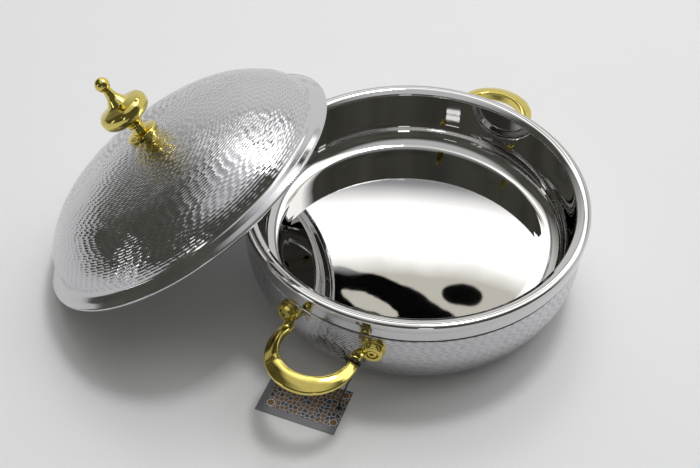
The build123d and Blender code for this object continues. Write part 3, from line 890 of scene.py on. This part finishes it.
# Offset-printed card: white lines on a dark ground with ochre cells and dots, under a thin gloss varnish.
# The print's map counts in units of 100 mm from the card's front right corner, and a line's half width
# is a share of a tile.
printed_card = new_material("printed_varnished_card", "#5A5B60", 0.38, coat=0.3)
tree = printed_card.node_tree
tile = 3.4
line_half = 0.07
line_blur = 0.3
line_clear = 2.2
blank_share = 0.42
speckle_size = 2.5
medallion_radius = 2.4
medallion_ring = 0.6
medallions = ((-51.5, 9.2), (-4.0, 9.2), (-4.0, 33.6))
margin_left = 5.0
margin_front = 5.5

flat = node(tree, "UVMap", uv_map="print")
across_up = node(tree, "SeparateXYZ", {"Vector": flat})
tiling = {"Vector": flat, "Scale": print_unit / tile, "Randomness": 0.75}
edges = node(tree, "TexVoronoi", tiling, voronoi_dimensions="2D", feature="DISTANCE_TO_EDGE")
tiles = node(tree, "TexVoronoi", tiling, voronoi_dimensions="2D")
pick = node(tree, "SeparateXYZ", {"Vector": tiles.outputs["Color"]})
filled = node(tree, "Math", {0: pick.outputs["X"], 1: blank_share}, operation="GREATER_THAN")
off_line = node(tree, "Math", {0: edges, 1: line_half * line_clear}, operation="GREATER_THAN")
in_cell = node(tree, "Math", {0: filled, 1: off_line}, operation="MULTIPLY")
on_line = node(tree, "MapRange", {"Value": edges, "From Min": line_half * (1 - line_blur),
                                  "From Max": line_half * (1 + line_blur), "To Min": 1.0, "To Max": 0.0})
speckle = node(tree, "TexNoise", {"Vector": flat, "Scale": print_unit / speckle_size})
ochre = node(tree, "Mix", {"Factor": speckle, "A": colour("#5A3A0C"), "B": colour("#8A6420")},
             data_type="RGBA")
cells = node(tree, "Mix", {"Factor": in_cell, "A": colour("#34343A"), "B": ochre}, data_type="RGBA")
printed = node(tree, "Mix", {"Factor": on_line, "A": cells, "B": colour("#B4B4BC")}, data_type="RGBA")
for x, y in medallions:
    centre = (x / print_unit, y / print_unit, 0)
    reach = node(tree, "VectorMath", {0: flat, 1: centre}, operation="DISTANCE")
    for radius, shade in ((medallion_radius + medallion_ring, colour("#C9C9D0")), (medallion_radius, ochre)):
        dot = node(tree, "Math", {0: reach, 1: radius / print_unit}, operation="LESS_THAN")
        printed = node(tree, "Mix", {"Factor": dot, "A": printed, "B": shade}, data_type="RGBA")
# The margin outside the print, at the front and left, is a white margin painted grey, as painted shadow.
clear_of_front = node(tree, "Math", {0: across_up.outputs["Y"], 1: margin_front / print_unit},
                      operation="GREATER_THAN")
clear_of_left = node(tree, "Math", {0: across_up.outputs["X"], 1: (margin_left - card_length) / print_unit},
                     operation="GREATER_THAN")
in_print = node(tree, "Math", {0: clear_of_front, 1: clear_of_left}, operation="MULTIPLY")
whole = node(tree, "Mix", {"Factor": in_print, "A": colour("#77787D"), "B": printed}, data_type="RGBA")
surface(printed_card, {"Base Color": whole})
finished(card, printed_card, "casserole", "printed_card", "tag_card")

# The knot under the card's eyelet: a small overhand knot, drawn tight.
knot_points = 64
knot_size = 1.45
knot_centre = Vector((*string_route[-1][:2], 2.30))


def knot_piece(name, centre, size):
    """A tight overhand knot: a closed trefoil of the string."""
    curve = bpy.data.curves.new(name, "CURVE")
    curve.dimensions = "3D"
    spline = curve.splines.new("NURBS")
    spline.points.add(knot_points - 1)
    for index, point in enumerate(spline.points):
        turn = 2 * pi * index / knot_points
        trefoil = (sin(turn) + 2 * sin(2 * turn), cos(turn) - 2 * cos(2 * turn), -sin(3 * turn))
        point.co = [(value * size / 3 + middle) * MM for value, middle in zip(trefoil, centre)] + [1]
    spline.use_cyclic_u = True
    curve.bevel_depth = string_diameter / 2 * MM
    curve.bevel_resolution = 3
    piece = bpy.data.objects.new(name, curve)
    bpy.context.collection.objects.link(piece)
    return meshed(piece)


knot = knot_piece("card_knot", knot_centre, knot_size)
finished(knot, waxed_cotton, "casserole", "string", "tag_bead")

# The tie round the handle's bar: two tight turns of the string, a knot under the bar and one beside it, and
# two thin cut ends. Places are along the bar, across it and up from its middle.
tie_centre = Vector((*string_route[0][:2], handle_height))
tie_heading = Matrix.Rotation(radians(-100.43), 3, "Z")
tie_half_width = 4.75
tie_half_height = 4.0
tie_drop = 0.3
tie_turns = 2
tie_spread = 1.3
turn_steps = 24
tie_steps = tie_turns * turn_steps
under_knot_size = 1.6
under_knot_drop = 6.6
tail_knot_size = 1.1
tail_height = 3.2
tail_diameter = 0.8
tail_start = Vector((0, -tie_half_width, tail_height))
tail_ends = [Vector((-2.2, -7.6, 8.2)), Vector((2.4, -9.4, 4.6))]

tie_route = []
for step in range(tie_steps + 1):
    turn = 2 * pi * step / turn_steps
    along = (step / tie_steps - 0.5) * tie_spread
    offset = Vector((along, sin(turn) * tie_half_width, -cos(turn) * tie_half_height - tie_drop))
    tie_route.append(tie_centre + tie_heading @ offset)
parts = [
    meshed(cord_piece("handle_tie", tie_route, string_diameter)),
    knot_piece("handle_tie_knot", tie_centre - Vector((0, 0, under_knot_drop)), under_knot_size),
    knot_piece("tail_knot", tie_centre + tie_heading @ (tail_start - Vector((0, 0.2, 0))), tail_knot_size),
]
for end in tail_ends:
    bend = tail_start + Vector((end.x * 0.3, -1.4, 1.6))
    places = [tie_centre + tie_heading @ place for place in (tail_start, bend, end)]
    parts.append(meshed(cord_piece("tie_tail", places, tail_diameter)))
tie = joined("handle_tie", parts)
finished(tie, waxed_cotton, "casserole", "string", "string_tie")


# ---- room ----
# A table of plain pale board under soft lamps, in a room whose walls are pale low down.
bpy.ops.object.select_all(action="DESELECT")
bpy.ops.mesh.primitive_plane_add(size=6)
table = bpy.context.object
table.name = "table"
pale_board = new_material("pale_board", "#E7E7E8", 0.7)
table.data.materials.append(pale_board)


def lamp(name, direction, distance, size, power):
    """A square lamp in this direction from the casserole, turned to shine on it."""
    towards = Vector(direction).normalized()
    bpy.ops.object.light_add(type="AREA", location=towards * distance)
    light = bpy.context.object
    light.name = name
    light.rotation_euler = towards.to_track_quat("Z", "Y").to_euler()
    light.data.size = size
    light.data.energy = power
    return light


lamp("overhead_lamp", (0.154, 0.245, 1), distance=2.0, size=0.30, power=10.2)
rear_lamp = lamp("rear_lamp", (0, 0.65, 1), distance=2.0, size=0.45, power=4.5)
rear_lamp.visible_glossy = False

# Directions of the room are told by a bearing, in radians from behind the table towards its right, and
# by a height, the sine of the angle above the table.
world = bpy.data.worlds.new("room")
bpy.context.scene.world = world
world.use_nodes = True
tree = world.node_tree
direction = node(tree, "TexCoord").outputs["Generated"]
axes = node(tree, "SeparateXYZ", {"Vector": direction})
height = axes.outputs["Z"]
bearing = node(tree, "Math", {0: axes.outputs["X"], 1: axes.outputs["Y"]}, operation="ARCTAN2")

# Pale walls stand behind the table and on its right, brightest high up. The rest of the room is dark and
# cluttered below its grey ceiling.
bright = 1.6
wall_tones = [(0.0, "#C0C0BF", 1), (0.58, "#C0C0BE", 1), (0.61, "#75757A", 1), (0.65, "#8A8A8C", 1),
              (0.69, "#F8F8F8", bright), (0.90, "#F0F0F0", bright), (1.0, "#B8B8B8", 1)]
walls = node(tree, "ValToRGB", {"Fac": height})
stops = walls.color_ramp.elements
while len(stops) < len(wall_tones):
    stops.new(1.0)
for stop, (position, code, gain) in zip(stops, wall_tones):
    stop.position = position
    stop.color = [part * gain for part in colour(code)]
left_end = node(tree, "MapRange", {"Value": bearing, "From Min": -1.05, "From Max": -0.45})
right_end = node(tree, "MapRange", {"Value": bearing, "From Min": 1.35, "From Max": 1.6, "To Min": 1.0,
                                    "To Max": 0.0})
lit_side = node(tree, "Math", {0: left_end, 1: right_end}, operation="MULTIPLY")
clutter = node(tree, "TexNoise", {"Vector": direction, "Scale": 3.0, "Detail": 3.0})
shade = node(tree, "Mix", {"Factor": clutter, "A": colour("#1C1C1A"), "B": colour("#595952")},
             data_type="RGBA")
ceiling = node(tree, "MapRange", {"Value": height, "From Min": 0.82, "From Max": 0.93})
overhead = node(tree, "Mix", {"Factor": ceiling, "A": shade, "B": colour("#B2B2B3")}, data_type="RGBA")
room = node(tree, "Mix", {"Factor": lit_side, "A": overhead, "B": walls.outputs["Color"]}, data_type="RGBA")


def oval(left, right, low, high, across, up, sharpness=4.0):
    """1 inside an oval of directions, between two bearings and two heights."""
    arms = []
    for value, start, end in ((across, left, right), (up, low, high)):
        off = node(tree, "MapRange", {"Value": value, "From Min": start, "From Max": end, "To Min": -1.0},
                   clamp=False)
        size = node(tree, "Math", {0: off}, operation="ABSOLUTE")
        arms.append(node(tree, "Math", {0: size, 1: sharpness}, operation="POWER"))
    spread = node(tree, "Math", {0: arms[0], 1: arms[1]}, operation="ADD")
    return node(tree, "Math", {0: spread, 1: 1.0}, operation="LESS_THAN")


# A gap in the brightest part shows a beige wall with dark drapes on it, which hang in waves and aslant.
gap_side = 0.45
gap_top = 0.86
fold_height = 0.016
slant = -0.17
bent = node(tree, "TexNoise", {"Vector": direction, "Scale": 16.0, "Detail": 3.0})
wavy = node(tree, "Math", {0: bent, 1: fold_height, 2: height}, operation="MULTIPLY_ADD")
slanted = node(tree, "Math", {0: bearing, 1: slant, 2: wavy}, operation="MULTIPLY_ADD")
gap = node(tree, "MapRange", {"Value": wavy, "From Min": 0.738, "From Max": 0.772})
for value, operation, limit in ((bearing, "LESS_THAN", gap_side), (bearing, "GREATER_THAN", -gap_side),
                                (height, "LESS_THAN", gap_top)):
    within = node(tree, "Math", {0: value, 1: limit}, operation=operation)
    gap = node(tree, "Math", {0: gap, 1: within}, operation="MULTIPLY")
drape = oval(-0.21, 0.17, 0.785, 0.88, bearing, slanted)
leaf = oval(-0.15, -0.02, 0.808, 0.826, bearing, slanted, 2.0)
small_drape = oval(0.075, 0.165, 0.774, 0.796, bearing, wavy, 2.0)
parted = node(tree, "Math", {0: drape, 1: leaf}, operation="SUBTRACT")
drapes = node(tree, "Math", {0: parted, 1: small_drape}, operation="MAXIMUM")
behind = node(tree, "Mix", {"Factor": drapes, "A": colour("#BFBCB2"), "B": colour("#050505")},
              data_type="RGBA")
far_room = node(tree, "Mix", {"Factor": gap, "A": room, "B": behind}, data_type="RGBA")

# In the dark side are two low windows and a high one of two panes, and below the gap are two strip lights.
window_light = (1.3, 1.3, 1.3, 1)
low_windows = [(-2.22, -2.06, 0.02, 0.36), (2.88, 3.02, 0.05, 0.32)]
high_panes = [(-2.81, -2.63, 0.6205, 0.6285), (-2.81, -2.63, 0.6305, 0.6385)]
strip_lights = [(-0.19, -0.02, 0.636, 0.644), (-0.38, -0.30, 0.630, 0.638)]
windows = 0.0
for left, right, low, high in low_windows + high_panes + strip_lights:
    pane = oval(left, right, low, high, bearing, height, 16.0)
    windows = node(tree, "Math", {0: windows, 1: pane}, operation="MAXIMUM")
lit_room = node(tree, "Mix", {"Factor": windows, "A": far_room, "B": window_light}, data_type="RGBA")

# The casserole is lit by the room, and the camera sees plain grey past the table's edge.
room_strength = 1.5
path = node(tree, "LightPath")
seen = node(tree, "Mix", {"Factor": path.outputs["Is Camera Ray"], "A": lit_room, "B": colour("#B4B4B4")},
            data_type="RGBA")
fill(tree.nodes["Background"], {"Color": seen, "Strength": room_strength})

bpy.context.scene.view_settings.view_transform = "Standard"
